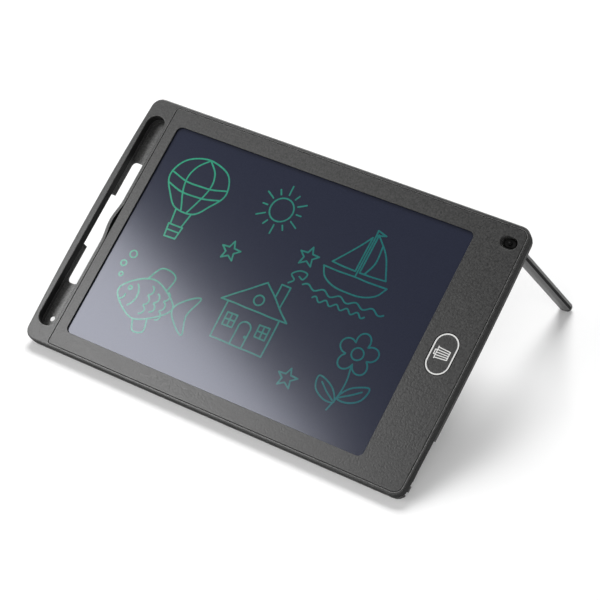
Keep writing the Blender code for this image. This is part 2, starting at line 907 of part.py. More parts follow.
def build_button(tablet):
    """The erase key, flush in the panel, and the tact switch that it presses."""
    origin = add_empty("erase_button_axis", tablet, (button_x, button_y, 0.0), (0.0, 0.0, 0.0))
    narrow = 2 * button_edge_break
    face = stadium(0.0, 0.0, button_width - narrow, button_length - narrow)
    side = stadium(0.0, 0.0, button_width, button_length)
    key = [(face, 0.0), (side, button_edge_break), (side, button_depth)]
    gray = plastic("key_plastic", (0.09, 0.09, 0.092), 0.5)
    button = make_object("erase_button", [key], origin, gray)
    flange = centered_box(0.0, 0.0, button_flange_width, button_length + 2 * button_flange_reach)
    flange_rings = prism(flange, button_depth - button_flange_thickness, button_depth)
    fuse(button, "add_button_flange", [flange_rings], origin)
    plunger = circle(0.0, 0.0, tact_plunger_radius)
    make_object(
        "tact_switch_plunger",
        [prism(plunger, plunger_top_depth, plunger_top_depth + tact_plunger_length)],
        origin,
        plastic("plunger_plastic", (0.55, 0.5, 0.42), 0.5),
    )
    body = centered_box(button_x, button_y, tact_body_size, tact_body_size)
    switch = make_object(
        "tact_switch_body",
        [on_board(body, tact_body_height)],
        tablet,
        plastic("switch_metal", (0.55, 0.55, 0.56), 0.35, 1.0),
    )
    well = circle(button_x, button_y, tact_plunger_radius + layer_gap)
    well_rings = prism(well, button_depth, board_top_depth - layer_gap - tact_floor)
    cut(switch, "cut_plunger_well", [well_rings], tablet)


def build_battery(tablet):
    """The coin cell in its drawer, and the two leaf contacts under the board."""
    origin = add_empty("battery_drawer_axis", tablet, (cell_x, cell_y, -cell_top_depth), (0.0, 0.0, 0.0))
    bottom = drawer_bottom_depth - cell_top_depth
    front = drawer_right - cell_x
    shell = box_outline(drawer_left - cell_x, front, -drawer_half_width, drawer_half_width)
    gray = plastic("drawer_plastic", (0.075, 0.075, 0.078), 0.55)
    drawer = make_object("battery_drawer", [prism(shell, 0.0, bottom)], origin, gray)
    well = circle(0.0, 0.0, cell_radius + cell_clearance, cell_steps)
    cut(drawer, "cut_cell_well", [prism(well, -cut_overrun, bottom - drawer_floor)], origin)
    past_side = drawer_half_width + cut_overrun
    lip = box_outline(front - drawer_lip_depth, front + cut_overrun, -past_side, past_side)
    lip_step = prism(lip, bottom - drawer_lip_height, bottom + cut_overrun)
    cut(drawer, "cut_drawer_lip", [lip_step], origin)
    can = circle(0.0, 0.0, cell_radius, cell_steps)
    cap = circle(0.0, 0.0, cell_cap_radius, cell_steps)
    cell = [(cap, 0.0), (cap, cell_step), (can, cell_step), (can, cell_thickness)]
    steel = plastic("cell_steel", (0.62, 0.62, 0.63), 0.25, 1.0)
    make_object("coin_cell", [cell], origin, steel)
    build_contacts(tablet)


def contact_line(root, tip):
    """A leaf's bent line: flat on the board at its root, then dipping to the cell."""
    top = board_bottom_depth + layer_gap
    low = top + contact_dip
    first, second = (root + (tip - root) * share for share in contact_bend_shares)
    return [(root, top), (first, top), (second, low), (tip, low)]


def build_contact(name, root, tip, middle, tablet, metal):
    half = contact_width / 2
    line = contact_line(root, tip)
    bent_strip(name, line, contact_thickness, middle - half, middle + half, tablet, metal)


def build_contacts(tablet):
    """One leaf reaches the cell's middle, the other its rim."""
    metal = plastic("contact_metal", (0.7, 0.6, 0.35), 0.3, 1.0)
    build_contact("cell_contact_negative", cell_x - contact_length, cell_x, cell_y, tablet, metal)
    tip = cell_x - math.sqrt(cell_radius ** 2 - contact_spread ** 2) + fit_gap
    middle = cell_y + contact_spread
    build_contact("cell_contact_positive", tip + contact_length, tip, middle, tablet, metal)


def build_lock(tablet):
    """The erase lock: knob and flange in one, over the lever of a slide switch."""
    origin = add_empty("lock_slider_axis", tablet, (lock_knob_left, lock_knob_middle, 0.0), (0.0, 0.0, 0.0))
    half = lock_knob_length / 2
    knob = box_outline(0.0, lock_knob_reach, -half, half)
    top = cover_top_depth + layer_gap
    rear = body_depth - lock_knob_rear_setback
    black = plastic("lock_plastic", (0.05, 0.05, 0.052), 0.5)
    slider = make_object("lock_slider", [prism(knob, top, rear)], origin, black)
    wide = half + lock_flange_overhang
    flange = box_outline(-lock_flange_thickness, fuse_overlap, -wide, wide)
    fuse(slider, "add_lock_flange", [prism(flange, top, top + lock_flange_drop)], origin)
    build_slide_switch(tablet, origin, slider)


def build_slide_switch(tablet, origin, slider):
    """The slide switch under the board, whose lever sits in a pocket of the lock slider."""
    half = lever_width / 2
    around = half + layer_gap
    above = lever_top_depth - layer_gap
    bottom = lever_top_depth + lever_height
    front = lever_reach - lock_flange_thickness
    pocket = box_outline(-cut_overrun, front, -around, around)
    cut(slider, "cut_lever_pocket", [prism(pocket, above, bottom + layer_gap)], origin)
    back = -lock_flange_thickness - fit_gap - slide_body_width / 2
    lever = box_outline(back, front - layer_gap, -half, half)
    black = plastic("lever_plastic", (0.04, 0.04, 0.04), 0.5)
    make_object("slide_switch_lever", [prism(lever, lever_top_depth, bottom)], origin, black)
    middle = lock_knob_middle - lock_travel / 2
    body = centered_box(slide_middle_x, middle, slide_body_width, slide_body_length)
    metal = plastic("slide_metal", (0.55, 0.55, 0.56), 0.35, 1.0)
    shell = prism(body, slide_top_depth, slide_top_depth + slide_body_height)
    switch = make_object("slide_switch_body", [shell], tablet, metal)
    window = box_outline(
        slide_middle_x - layer_gap,
        slide_middle_x + slide_body_width,
        middle - lock_travel / 2 - around,
        middle + lock_travel / 2 + around,
    )
    cut(switch, "cut_lever_window", [prism(window, above, bottom + layer_gap)], tablet)


def build_stylus(stylus_axis):
    """The stylus: barrel with a through bore, nib at the stand hole, cap as the foot."""
    dark = plastic("stylus_plastic", (0.085, 0.085, 0.087), 0.45)
    ring = barrel_start + stylus_shoulder_length * shoulder_ring_share
    shoulder = barrel_start + stylus_shoulder_length
    rings = [
        (stylus_section(stylus_shoulder_inset), barrel_start),
        (stylus_section(stylus_shoulder_inset * shoulder_ring_share), ring),
        (stylus_section(0.0), shoulder),
        (stylus_section(0.0), barrel_end),
    ]
    barrel = make_object("stylus_barrel", [rings], stylus_axis, dark)
    bore = circle(0.0, 0.0, stylus_bore_radius)
    bore_rings = prism(bore, barrel_start - cut_overrun, barrel_end + cut_overrun)
    cut(barrel, "cut_stylus_bore", [bore_rings], stylus_axis)
    plug = circle(0.0, 0.0, stylus_bore_radius - plug_clearance)
    tip = circle(0.0, 0.0, nib_tip_radius)
    rim = circle(0.0, 0.0, nib_tip_radius / 2)
    nib = [
        (rim, stylus_tip_recess),
        (tip, stylus_tip_recess + nib_tip_radius / 2),
        (plug, barrel_start),
        (plug, barrel_start + nib_shank_length),
    ]
    make_object("stylus_nib", [nib], stylus_axis, plastic("nib_plastic", (0.03, 0.03, 0.03), 0.4))
    cap_start = barrel_end + layer_gap
    round_start = foot_reach() - stylus_end_round
    cap = [
        (plug, cap_start - cap_plug_length),
        (plug, cap_start),
        (stylus_section(0.0), cap_start),
        (stylus_section(0.0), round_start),
    ]
    for i in range(1, foot_steps + 1):
        turn = math.pi / 2 * i / foot_steps
        inset = stylus_end_round * (1 - math.cos(turn))
        cap.append((stylus_section(inset), round_start + stylus_end_round * math.sin(turn)))
    make_object("stylus_end_cap", [cap], stylus_axis, dark)


def main():
    clear_scene()
    tablet = add_empty(
        "tablet_tilt",
        None,
        (-body_width / 2, -stance_middle(), floor_offset()),
        (tablet_tilt, 0.0, 0.0),
    )
    stylus_axis = add_empty(
        "stylus_axis",
        tablet,
        (stand_hole_x, stand_hole_y, 0.0),
        (stylus_lean_up, -stylus_lean_across, 0.0),
    )
    housing = plastic("housing_plastic", (0.1, 0.1, 0.102), 0.5)
    build_frame(tablet, housing)
    build_panel(tablet, stylus_axis, housing)
    build_rear_cover(tablet, stylus_axis, housing)
    build_display(tablet)
    build_tail(tablet)
    build_board(tablet)
    build_button(tablet)
    build_battery(tablet)
    build_lock(tablet)
    build_stylus(stylus_axis)


main()
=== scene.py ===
"""The looks of the LCD writing tablet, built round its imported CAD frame.

Metres, +Z up, as in the frame. The tablet leans back, so what lies on its face is placed in
the tablet's own axes: x along the long side, y up the face, z out of the face.
"""

import json
import math

import bpy
import bmesh
from mathutils import Matrix, Quaternion, Vector, noise


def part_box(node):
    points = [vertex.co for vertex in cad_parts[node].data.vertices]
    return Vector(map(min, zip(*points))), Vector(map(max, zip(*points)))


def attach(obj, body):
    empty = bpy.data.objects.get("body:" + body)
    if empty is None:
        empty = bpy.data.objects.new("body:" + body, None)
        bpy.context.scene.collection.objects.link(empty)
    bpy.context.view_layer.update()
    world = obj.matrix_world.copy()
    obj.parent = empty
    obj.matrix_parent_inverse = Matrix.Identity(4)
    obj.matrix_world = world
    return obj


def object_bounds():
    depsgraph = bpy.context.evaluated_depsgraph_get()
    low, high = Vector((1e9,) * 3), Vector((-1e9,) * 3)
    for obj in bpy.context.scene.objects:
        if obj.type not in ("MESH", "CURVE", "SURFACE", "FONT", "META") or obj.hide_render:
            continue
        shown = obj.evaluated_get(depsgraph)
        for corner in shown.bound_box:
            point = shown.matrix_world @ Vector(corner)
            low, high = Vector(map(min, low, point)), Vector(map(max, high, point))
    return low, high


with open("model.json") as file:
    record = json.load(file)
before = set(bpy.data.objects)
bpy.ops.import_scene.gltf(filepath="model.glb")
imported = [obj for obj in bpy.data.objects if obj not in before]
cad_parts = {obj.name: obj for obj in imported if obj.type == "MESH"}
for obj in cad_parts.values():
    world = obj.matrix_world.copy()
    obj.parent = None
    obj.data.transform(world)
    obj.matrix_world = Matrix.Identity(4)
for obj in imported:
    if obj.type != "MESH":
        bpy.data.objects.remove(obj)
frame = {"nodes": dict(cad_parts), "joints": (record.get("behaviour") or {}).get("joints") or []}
cad_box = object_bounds()
nodes = frame["nodes"]


def look(red, green, blue):
    """Linear colour of an sRGB colour given in 0 to 255."""
    def linear(value):
        share = value / 255
        if share <= 0.04045:
            return share / 12.92
        return ((share + 0.055) / 1.055) ** 2.4
    return (linear(red), linear(green), linear(blue), 1)


# Camera, solved from the straight edges of the panel in the photograph.
camera_place = (0.43335, -0.67274, 0.63422)
camera_tilt = math.radians(52.377)
camera_turn = math.radians(32.839)
camera_lens = 118.24

# Studio: soft boxes aimed at the object, in a plain room. Each is a direction, a distance, a
# width, a height, a turn in degrees and a power. Four of them light the object alone: the sheen
# box draws the sheen on the film, the left box the sheen at the far corner, and the others
# fill. Three light the floor alone: the back box throws the shadow, and the side box and the
# corner box open it.
object_boxes = {
    "sheen_box": ((-0.527, -0.45, 0.721), 1.2, 0.44, 0.33, 19, 4.2),
    "left_box": ((-0.62, 0.32, 0.72), 1.4, 0.5, 0.5, 0, 9.5),
    "top_box": ((-0.21, 0.45, 0.87), 1.4, 0.8, 0.8, 0, 6.5),
    "front_box": ((0.38, -0.65, 0.66), 1.4, 0.6, 0.6, 0, 0.8),
}
floor_boxes = {
    "back_box": ((-0.25, 0.433, 0.866), 1.4, 0.75, 0.85, 0, 17.2),
    "side_box": ((0.4096, -0.7094, 0.5736), 1.4, 0.8, 0.8, 0, 7.2),
    "corner_box": ((-0.42, -0.66, 0.62), 1.4, 0.8, 0.8, 0, 4.8),
}
room_fill = 0.18

# Floor: a wide flat disc that curves up into a low wall. It glows faintly, so that its lit part
# looks white, and more strongly far off, where the lamps hardly reach.
floor_radius = 2.5
floor_bend = 0.8
floor_wall = 0.4
floor_steps = 96
bend_steps = 12
floor_color = (0.86, 0.86, 0.86)
floor_glow = 0.115
far_glow_start = 0.6
far_glow_end = 1.8
far_glow_strength = 1.0

# Corners no farther apart than this count as one.
tolerance = 0.00001

# Lines drawn on the writing film: flat ribbons just above it.
line_width = 0.00085
line_thickness = 0.00002
line_lift = 0.00001
line_step = 0.0006
stroke_lift = 0.000001
wander_reach = 0.0004
wander_length = 0.012
wander_seed = 5
pressure_share = 0.12
cap_steps = 5
curve_steps = 8

# Finishes in general. A noise's values mostly lie between its low and its high. A swing is how far
# a roughness goes up and down. The wave texture of scale 1 repeats after wave_repeat.
noise_low = 0.3
noise_high = 0.7
cloud_size = 0.03
cloud_detail = 2.0
cloud_shade = 0.92
soft_edge = 0.0002
edge_samples = 6
plastic_swing = 0.06
metal_swing = 0.08
metal_grain = 0.0003
metal_detail = 4.0
metal_relief = 0.00001
rolled_stretch = (1, 10, 10)
wave_repeat = math.pi / 10

# Case plastic: gloss, grain and relief, a painted highlight on the edges, and matt walls darkened by
# painted shade. A facing is 1 where a normal looks straight along a direction, and 0 where it looks
# sideways.
case_specular = 0.7
case_roughness = 0.345
case_swing = 0.04
case_grain = 0.0009
case_relief = 0.00007
case_colors = (look(6, 6, 6), look(52, 52, 51))
rear_colors = (look(72, 72, 71), look(120, 120, 119))
# Painted highlight on the case's edges: how far it reaches, its colour, and how sharply it ends.
edge_highlight_reach = 0.00032
edge_highlight_color = look(196, 196, 194)
highlight_full_facing = 0.8
wall_extra_roughness = 0.55
wall_start_facing = 0.75
wall_full_facing = 0.35

# The painted shade line along the stylus's narrow sides, its dark tip, and how softly both end.
stylus_tip_length = 0.007
stylus_shade_line_place = 0.0006
stylus_shade_line_width = 0.0012
stylus_blend = 0.0002
stylus_tip_and_shade_color = look(4, 4, 4)
stylus_tip_and_shade_extra_roughness = 0.4

# Plain plastics: the nodes, a dark and a light colour, the roughness, the grain, the relief and
# the specular level.
plastics = {
    "cap_plastic": (["stylus_end_cap"], look(24, 24, 24), look(52, 52, 52), 0.45, 0.0005, 0.00003, 0.4),
    "nib_plastic": (["stylus_nib"], look(6, 6, 6), look(14, 14, 14), 0.6, 0.0003, 0.00002, 0.3),
    "black_nylon": (["slide_switch_lever"], look(24, 24, 24), look(44, 44, 44), 0.5, 0.0006, 0.0001, 0.5),
    "tape": (["adhesive_frame"], look(18, 18, 19), look(34, 34, 36), 0.8, 0.0004, 0.00006, 0.2),
    "backing": (["dark_backing_sheet"], look(10, 10, 11), look(20, 20, 22), 0.7, 0.0005, 0.00003, 0.3),
    "board_sheet": (["support_plate"], look(186, 184, 178), look(208, 206, 200), 0.75, 0.0012, 0.00005, 0.3),
    "nylon": (["tail_connector"], look(214, 210, 198), look(230, 226, 214), 0.45, 0.0004, 0.00003, 0.5),
    "resin": (["control_chip"], look(22, 22, 23), look(42, 42, 43), 0.45, 0.0003, 0.00004, 0.5),
    "ferrite": (["boost_inductor"], look(52, 52, 55), look(78, 78, 82), 0.7, 0.0003, 0.00006, 0.5),
    "amber_plastic": (
        ["tact_switch_plunger"], look(182, 168, 136), look(204, 190, 158), 0.4, 0.0003, 0.00003, 0.5
    ),
}

# Bare metals: the nodes, a dark and a light colour, the roughness and how the noise is stretched.
metals = {
    "steel": (
        ["board_screw_1", "board_screw_2", "board_screw_3"],
        look(150, 150, 150), look(190, 190, 189), 0.35, (1, 1, 1)
    ),
    "switch_steel": (
        ["tact_switch_body", "slide_switch_body"],
        look(168, 168, 166), look(204, 204, 202), 0.3, rolled_stretch
    ),
    "contact_metal": (
        ["cell_contact_negative", "cell_contact_positive"],
        look(190, 180, 140), look(222, 212, 172), 0.3, rolled_stretch
    ),
}

# Gap from one copper track of the flat lead to the next, and from ring to ring on the coin cell.
lead_track_gap = 0.001
cell_ring_gap = 0.0004

# Tracks on the board, drawn as the joints of a brick wall: a brick texture's inputs.
board_tracks = {"Scale": 1.0, "Mortar Size": 0.00012, "Brick Width": 0.0045, "Row Height": 0.0014}

# Share of a capacitor's length that each tinned end takes.
capacitor_end_share = 0.22

# The film and its lines reflect with a faint blue tint.
film_tint = (0.87, 0.89, 1.0, 1)
film_specular = 0.57
line_specular = 0.48

# Doodles: size, and the place of the middle as shares of the film's width and height.
balloon_size = 0.046
balloon_place_shares = (0.16, 0.71)
fish_size = 0.045
fish_place_shares = (0.22, 0.28)
sun_size = 0.027
sun_place_shares = (0.43, 0.80)
house_size = 0.042
house_place_shares = (0.50, 0.39)
sailboat_size = 0.04
sailboat_place_shares = (0.72, 0.70)
flower_size = 0.042
flower_place_shares = (0.83, 0.30)
star_size = 0.011
star_place_shares = ((0.35, 0.57), (0.68, 0.19), (0.57, 0.66))

# The ring and the bin printed on the erase key.
print_thickness = 0.00003
ring_line = 0.0007
ring_inset = 0.00005
ring_steps = 32
bin_line = 0.0005
bin_start = -0.0031
bin_end = 0.0034
bin_mouth_width = 0.0054
bin_foot_width = 0.0043
bin_ribs = 3
bin_lid_width = 0.0062
bin_handle_place = -0.0041
bin_handle_width = 0.0024


def joint_axis(name):
    """The direction in which a joint moves its body."""
    joint = next(j for j in frame["joints"] if j["name"] == name)
    return Vector(joint["axis"])


face_normal = -joint_axis("erase_press")
lean = Matrix.Rotation(math.atan2(-face_normal.y, face_normal.z), 4, "X")


def box_of(points):
    """Lowest and highest corner of some points."""
    low = Vector([min(p[i] for p in points) for i in range(3)])
    high = Vector([max(p[i] for p in points) for i in range(3)])
    return low, high


def tablet_points(node):
    """A CAD node's corners in the tablet's own axes."""
    upright = lean.inverted()
    return [upright @ v.co for v in nodes[node].data.vertices]


def face_box(node):
    """The box round a CAD node's foremost corners, in the tablet's own axes."""
    points = tablet_points(node)
    front = max(p.z for p in points)
    flat = [p for p in points if front - p.z < tolerance]
    return box_of(flat)


def set_camera():
    """The photograph's camera."""
    data = bpy.data.cameras.new("camera")
    data.lens = camera_lens
    camera = bpy.data.objects.new("camera", data)
    camera.location = camera_place
    camera.rotation_euler = (camera_tilt, 0, camera_turn)
    bpy.context.scene.collection.objects.link(camera)
    bpy.context.scene.camera = camera
    bpy.context.scene.view_settings.view_transform = "Standard"


def set_soft_box(name, direction, distance, width, height, turn, power):
    """A rectangular lamp that shines at the middle of the object."""
    low, high = cad_box
    toward = Vector(direction).normalized()
    data = bpy.data.lights.new(name, "AREA")
    data.shape = "RECTANGLE"
    data.size = width
    data.size_y = height
    data.energy = power
    lamp = bpy.data.objects.new(name, data)
    lamp.location = (low + high) / 2 + toward * distance
    upright = toward.to_track_quat("Z", "Y")
    lamp.rotation_euler = (upright @ Quaternion((0, 0, 1), math.radians(turn))).to_euler()
    bpy.context.scene.collection.objects.link(lamp)
    return lamp


def light_floor(lamp, state, floor):
    """Makes a lamp light only the floor, or everything but the floor."""
    receivers = bpy.data.collections.new(lamp.name + "_receivers")
    receivers.objects.link(floor)
    receivers.collection_objects[0].light_linking.link_state = state
    lamp.light_linking.receiver_collection = receivers


def set_studio(floor):
    """The soft boxes and the plain room that fills softly."""
    for name, box in object_boxes.items():
        light_floor(set_soft_box(name, *box), "EXCLUDE", floor)
    for name, box in floor_boxes.items():
        light_floor(set_soft_box(name, *box), "INCLUDE", floor)
    world = bpy.data.worlds.new("room")
    world.use_nodes = True
    background = world.node_tree.nodes["Background"]
    background.inputs["Color"].default_value = (1, 1, 1, 1)
    background.inputs["Strength"].default_value = room_fill
    bpy.context.scene.world = world


def seen_ray(finish):
    """1 for rays that look at a surface, straight, in a mirror or through glass, else 0."""
    path = finish.add("ShaderNodeLightPath")
    seen = path.outputs["Is Camera Ray"]
    for output in ("Is Glossy Ray", "Is Transmission Ray"):
        seen = finish.math("MAXIMUM", seen, path.outputs[output])
    return seen


def far_glow(finish):
    """Glow that the camera alone sees, on the far floor."""
    distance = finish.add("ShaderNodeVectorMath")
    distance.operation = "LENGTH"
    finish.feed(finish.place, distance.inputs[0])
    strength = finish.add("ShaderNodeMapRange")
    strength.interpolation_type = "SMOOTHSTEP"
    strength.inputs["From Min"].default_value = far_glow_start
    strength.inputs["From Max"].default_value = far_glow_end
    strength.inputs["To Max"].default_value = far_glow_strength
    finish.feed(distance.outputs["Value"], strength.inputs["Value"])
    path = finish.add("ShaderNodeLightPath")
    return finish.math("MULTIPLY", strength.outputs["Result"], path.outputs["Is Camera Ray"])


def floor_material():
    """Pale matt floor whose lit part looks white, and which keeps the shadow."""
    finish = Finish("floor", specular=0.0)
    finish.color((*floor_color, 1))
    finish.roughness(1.0)
    finish.shader.inputs["Emission Color"].default_value = (1, 1, 1, 1)
    near_glow = finish.math("MULTIPLY", seen_ray(finish), floor_glow)
    glow = finish.math("ADD", near_glow, far_glow(finish))
    finish.feed(glow, finish.shader.inputs["Emission Strength"])
    return finish.material


def floor_mesh():
    """A line from the middle of the floor to the top of its wall, spun round."""
    level = cad_box[0].z
    profile = [(0.0, level)]
    for i in range(bend_steps + 1):
        turn = math.pi / 2 * i / bend_steps
        radius = floor_radius + floor_bend * math.sin(turn)
        height = level + floor_bend * (1 - math.cos(turn))
        profile.append((radius, height))
    profile.append((floor_radius + floor_bend, level + floor_bend + floor_wall))
    shape = bmesh.new()
    line = [shape.verts.new((x, 0, z)) for x, z in profile]
    links = [shape.edges.new(pair) for pair in zip(line, line[1:])]
    bmesh.ops.spin(
        shape,
        geom=line + links,
        cent=(0, 0, 0),
        axis=(0, 0, 1),
        angle=2 * math.pi,
        steps=floor_steps,
        use_merge=True,
    )
    bmesh.ops.remove_doubles(shape, verts=shape.verts, dist=tolerance)
    for face in shape.faces:
        face.smooth = True
    mesh = bpy.data.meshes.new("floor")
    shape.to_mesh(mesh)
    shape.free()
    return mesh


def set_floor():
    """The floor that the tablet and its stylus stand on, with its low wall far behind."""
    mesh = floor_mesh()
    mesh.materials.append(floor_material())
    floor = bpy.data.objects.new("floor", mesh)
    bpy.context.scene.collection.objects.link(floor)
    return floor


class Finish:
    """A Principled material and the nodes that drive it."""

    def __init__(self, name, metallic=0.0, specular=0.5):
        self.material = bpy.data.materials.new(name)
        self.material.use_nodes = True
        self.tree = self.material.node_tree
        self.shader = self.tree.nodes["Principled BSDF"]
        self.shader.inputs["Metallic"].default_value = metallic
        self.shader.inputs["Specular IOR Level"].default_value = specular
        self.place = self.add("ShaderNodeTexCoord").outputs["Object"]

    def add(self, kind):
        """A new node of that kind."""
        return self.tree.nodes.new(kind)

    def feed(self, value, socket):
        """Links a node's output to a socket, or sets the socket to a plain value."""
        if isinstance(value, bpy.types.NodeSocket):
            self.tree.links.new(value, socket)
        else:
            socket.default_value = value

    def moved(self, stretch=(1, 1, 1), turn=(0, 0, 0), shift=(0, 0, 0)):
        """The place on the object, stretched, turned and shifted."""
        node = self.add("ShaderNodeMapping")
        node.inputs["Scale"].default_value = stretch
        node.inputs["Rotation"].default_value = turn
        node.inputs["Location"].default_value = shift
        self.feed(self.place, node.inputs["Vector"])
        return node.outputs["Vector"]

    def tablet_place(self, node):
        """The place in the tablet's own axes, from the middle of a CAD node."""
        low, high = box_of(tablet_points(node))
        return self.moved(turn=lean.inverted().to_euler(), shift=-(low + high) / 2)

    def noise(self, size, detail=3.0, stretch=(1, 1, 1)):
        """Noise with features of that size in metres, stretched along the axes."""
        node = self.add("ShaderNodeTexNoise")
        node.inputs["Scale"].default_value = 1 / size
        node.inputs["Detail"].default_value = detail
        self.feed(self.moved(stretch), node.inputs["Vector"])
        return node.outputs["Fac"]

    def cells(self, size):
        """Distance from the walls of small random cells, 0 at a wall."""
        node = self.add("ShaderNodeTexVoronoi")
        node.feature = "DISTANCE_TO_EDGE"
        node.inputs["Scale"].default_value = 1 / size
        self.feed(self.place, node.inputs["Vector"])
        return node.outputs["Distance"]

    def waves(self, place, gap, kind, axis):
        """Bands or rings, that gap apart, square to an axis or round it."""
        node = self.add("ShaderNodeTexWave")
        node.wave_type = kind
        node.bands_direction = axis
        node.rings_direction = axis
        node.inputs["Scale"].default_value = wave_repeat / gap
        self.feed(place, node.inputs["Vector"])
        return node.outputs["Fac"]

    def spread(self, factor, start, end, low=0.0, high=1.0):
        """A factor's stretch from start to end, spread from low to high."""
        node = self.add("ShaderNodeMapRange")
        node.inputs["From Min"].default_value = start
        node.inputs["From Max"].default_value = end
        node.inputs["To Min"].default_value = low
        node.inputs["To Max"].default_value = high
        self.feed(factor, node.inputs["Value"])
        return node.outputs["Result"]

    def between(self, factor, low, high):
        """A value that runs from low to high with a noise."""
        return self.spread(factor, noise_low, noise_high, low, high)

    def dot(self, first, second):
        """How far the first vector reaches along the second."""
        node = self.add("ShaderNodeVectorMath")
        node.operation = "DOT_PRODUCT"
        self.feed(first, node.inputs[0])
        self.feed(second, node.inputs[1])
        return node.outputs["Value"]

    def along(self, place, axis, start, end):
        """0 at start and 1 at end of one axis of a place."""
        split = self.add("ShaderNodeSeparateXYZ")
        self.feed(place, split.inputs[0])
        return self.spread(split.outputs[axis], start, end)

    def facing(self, normal, direction):
        """How squarely a normal faces a direction, 1 straight on and 0 sideways."""
        return self.math("ABSOLUTE", self.dot(normal, direction))

    def math(self, operation, first, second=0.0):
        """Arithmetic on one value or two."""
        node = self.add("ShaderNodeMath")
        node.operation = operation
        self.feed(first, node.inputs[0])
        self.feed(second, node.inputs[1])
        return node.outputs[0]

    def rounded(self, radius):
        """The normal over edges softened by that radius."""
        node = self.add("ShaderNodeBevel")
        node.samples = edge_samples
        node.inputs["Radius"].default_value = radius
        return node.outputs["Normal"]

    def edge(self, reach):
        """1 on edges, falling to 0 at that reach from them."""
        straight = self.add("ShaderNodeNewGeometry").outputs["Normal"]
        return self.spread(self.facing(self.rounded(reach), straight), 1.0, highlight_full_facing)

    def wall(self):
        """1 on walls square to the tablet's face, 0 where the surface lies along it."""
        normal = self.add("ShaderNodeTexCoord").outputs["Normal"]
        return self.spread(self.facing(normal, face_normal), wall_start_facing, wall_full_facing)

    def ramp(self, factor, stops, interpolation="LINEAR"):
        """Colours at shares of a factor."""
        node = self.add("ShaderNodeValToRGB")
        node.color_ramp.interpolation = interpolation
        points = node.color_ramp.elements
        while len(points) < len(stops):
            points.new(1)
        for point, (share, color) in zip(points, stops):
            point.position = share
            point.color = color
        self.feed(factor, node.inputs["Fac"])
        return node.outputs["Color"]

    def shades(self, factor, dark, light):
        """Colours that run from dark to light with a noise."""
        return self.ramp(factor, [(noise_low, dark), (noise_high, light)])

    def cloud(self):
        """Broad, faintly darker patches, to multiply a colour by."""
        return self.shades(self.noise(cloud_size, cloud_detail), grey(cloud_shade), grey(1))

    def mix(self, factor, first, second, mode="MIX"):
        """The second colour over the first, as far as the factor says."""
        node = self.add("ShaderNodeMix")
        node.data_type = "RGBA"
        node.blend_type = mode
        self.feed(factor, node.inputs["Factor"])
        self.feed(first, node.inputs["A"])
        self.feed(second, node.inputs["B"])
        return node.outputs["Result"]

    def multiplied(self, first, second):
        """Two colours, multiplied."""
        return self.mix(1.0, first, second, "MULTIPLY")

    def color(self, value):
        """Sets the colour of the surface."""
        self.feed(value, self.shader.inputs["Base Color"])

    def roughness(self, value):
        """Sets the roughness of the surface."""
        self.feed(value, self.shader.inputs["Roughness"])

    def bump(self, height, depth, edge_radius=0.0):
        """Surface relief of that depth in metres, over edges softened by a small radius."""
        node = self.add("ShaderNodeBump")
        node.inputs["Distance"].default_value = depth
        self.feed(height, node.inputs["Height"])
        if edge_radius:
            self.feed(self.rounded(edge_radius), node.inputs["Normal"])
        self.feed(node.outputs["Normal"], self.shader.inputs["Normal"])


def grey(value):
    """A linear grey."""
    return (value, value, value, 1)


def moulded_plastic(name, dark, light, rough, grain, relief, specular):
    """Plastic with a fine grain, faint cloudiness and uneven gloss."""
    finish = Finish(name, specular=specular)
    fine = finish.noise(grain)
    finish.color(finish.multiplied(finish.shades(fine, dark, light), finish.cloud()))
    finish.roughness(finish.between(fine, rough - plastic_swing, rough + plastic_swing))
    finish.bump(fine, relief, soft_edge)
    return finish.material


def case_plastic(name, dark, light, wall_painted_shade, edge_highlight):
    """The case: spark-eroded grain, matt walls darkened by painted shade, and a painted highlight on edges.
    """
    finish = Finish(name, specular=case_specular)
    fine = finish.noise(case_grain)
    wall = finish.wall()
    color = finish.multiplied(finish.shades(fine, dark, light), finish.cloud())
    # Painted shade: the walls take a darker colour.
    color = finish.mix(wall, color, finish.multiplied(color, grey(wall_painted_shade)))
    # Painted highlight: edges away from the walls take a lighter colour.
    highlighted_edge = finish.math("MULTIPLY", finish.edge(edge_highlight_reach), finish.math("SUBTRACT", 1.0, wall))
    finish.color(finish.mix(finish.math("MULTIPLY", highlighted_edge, edge_highlight), color, edge_highlight_color))
    rough = finish.between(fine, case_roughness - case_swing, case_roughness + case_swing)
    matt = finish.math("MULTIPLY", wall, wall_extra_roughness)
    finish.roughness(finish.math("ADD", rough, matt))
    finish.bump(fine, case_relief, soft_edge)
    return finish.material


def drawn_metal(name, dark, light, rough, stretch):
    """Bare sheet metal with fine rolling lines and uneven polish."""
    finish = Finish(name, metallic=1.0)
    fine = finish.noise(metal_grain, metal_detail, stretch)
    finish.color(finish.shades(fine, dark, light))
    finish.roughness(finish.between(fine, rough - metal_swing, rough + metal_swing))
    finish.bump(fine, metal_relief)
    return finish.material


def paint(node_names, material):
    """Gives CAD nodes a material in place of their plain one."""
    for name in node_names:
        for slot in nodes[name].material_slots:
            slot.material = material


# Flat lines, for the doodles and the key's print.

def even_steps(points, closed):
    """The same line with points a small step apart."""
    ends = list(zip(points, points[1:]))
    if closed:
        ends.append((points[-1], points[0]))
    stepped = []
    for first, second in ends:
        count = max(1, round((second - first).length / line_step))
        stepped += [first.lerp(second, i / count) for i in range(count)]
    if not closed:
        stepped.append(points[-1])
    return stepped


def across(points, closed):
    """Unit vectors square to the line, one at each point."""
    sides = []
    last = len(points) - 1
    for i, point in enumerate(points):
        before = points[i - 1] if i or closed else point
        after = points[(i + 1) % len(points)] if i < last or closed else point
        along = (after - before).normalized()
        sides.append(Vector((-along.y, along.x)))
    return sides


